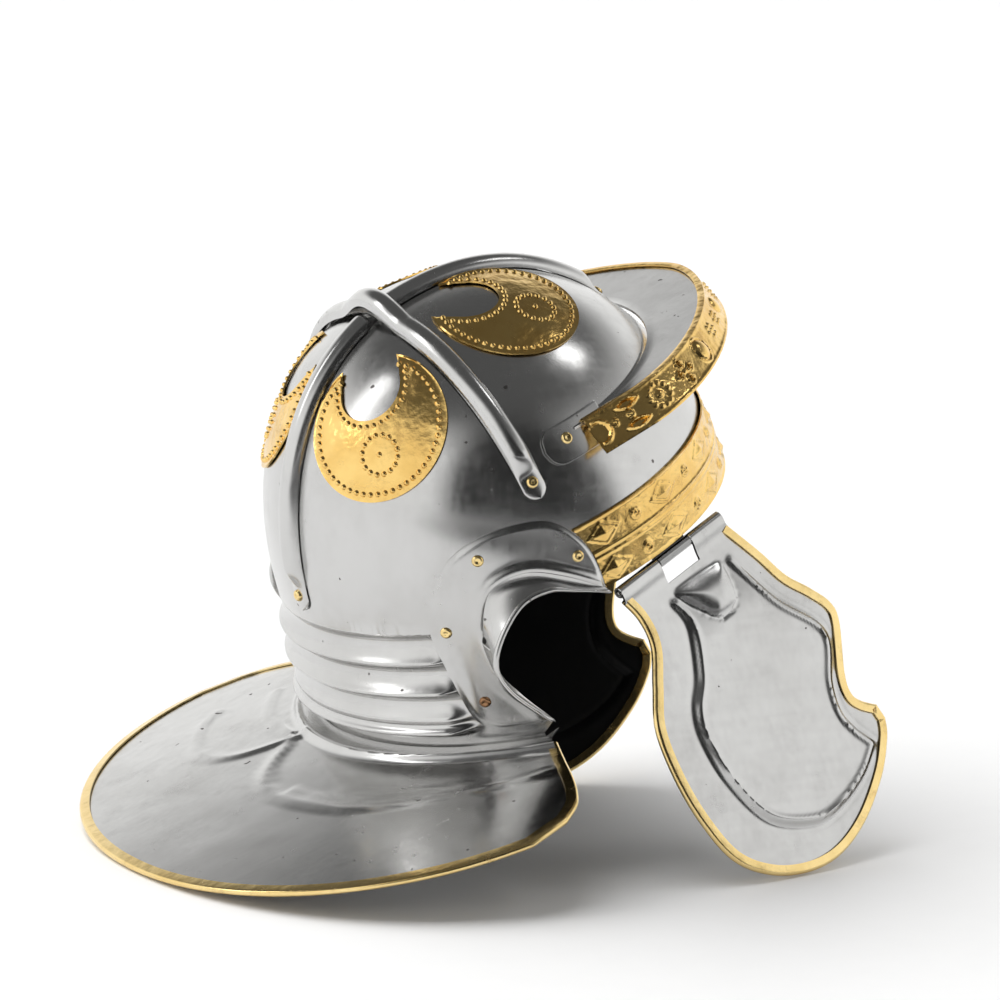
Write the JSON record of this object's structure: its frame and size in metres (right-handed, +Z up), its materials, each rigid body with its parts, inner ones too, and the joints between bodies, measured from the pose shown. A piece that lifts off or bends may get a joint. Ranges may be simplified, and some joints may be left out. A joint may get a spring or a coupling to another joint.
{
  "type": "legionary helmet",
  "caption": "Cross-braced Roman legionary helmet: ridged nape with flared neck guard, riveted peak, brass mounts, ear guards and two hinged cheek guards swung to one side.",
  "frame": {"origin": "centre of the bounding box's bottom face, on the ground that the helmet stands on", "axes": "+X ahead of the face, +Y to the wearer's left, +Z up; the helmet leans back about 22 degrees as it stands"},
  "size_m": [0.3248, 0.3058, 0.2631],
  "materials": {
    "steel": "satin-polished sheet steel, painted black inside the helmet and the cheek guards",
    "brass": "bright embossed sheet brass"
  },
  "bodies": {
    "helmet": {"bowl": "steel", "neck_trim": "brass", "rib_transverse": "steel", "rib_rear": "steel", "rib_front": "steel", "brow_band": "brass", "peak": "steel", "peak_strip": "brass", "crescent_rear_right": "brass", "crescent_rear_left": "brass", "crescent_front_right": "brass", "crescent_front_left": "brass", "ear_guard_right": "steel", "ear_guard_left": "steel", "hinge_leaf_right": "steel", "hinge_leaf_left": "steel", "hinge_pin_right": "steel", "hinge_pin_left": "steel", "rivet_rib_right": "brass", "rivet_rib_left": "brass", "rivet_rib_rear": "brass", "rivet_rib_front": "brass", "rivet_peak_right": "brass", "rivet_peak_left": "brass", "rivet_ear_right_1": "brass", "rivet_ear_right_2": "brass", "rivet_ear_right_3": "brass", "rivet_ear_right_4": "brass", "rivet_ear_left_1": "brass", "rivet_ear_left_2": "brass", "rivet_ear_left_3": "brass", "rivet_ear_left_4": "brass"},
    "cheek_right": {"cheek_guard_right": "steel", "cheek_trim_right": "brass"},
    "cheek_left": {"cheek_guard_left": "steel", "cheek_trim_left": "brass"}
  },
  "joints": [
    {"name": "cheek_hinge_right", "type": "hinge", "parent": "helmet", "child": "cheek_right", "pos_m": [0.02681, -0.10197, 0.12608], "axis": [-0.9064, -0.2193, -0.361], "range_deg": [-53, 70]},
    {"name": "cheek_hinge_left", "type": "hinge", "parent": "helmet", "child": "cheek_left", "pos_m": [0.02681, 0.11043, 0.12608], "axis": [0.9064, -0.2193, 0.361], "range_deg": [-3, 119]}
  ]
}
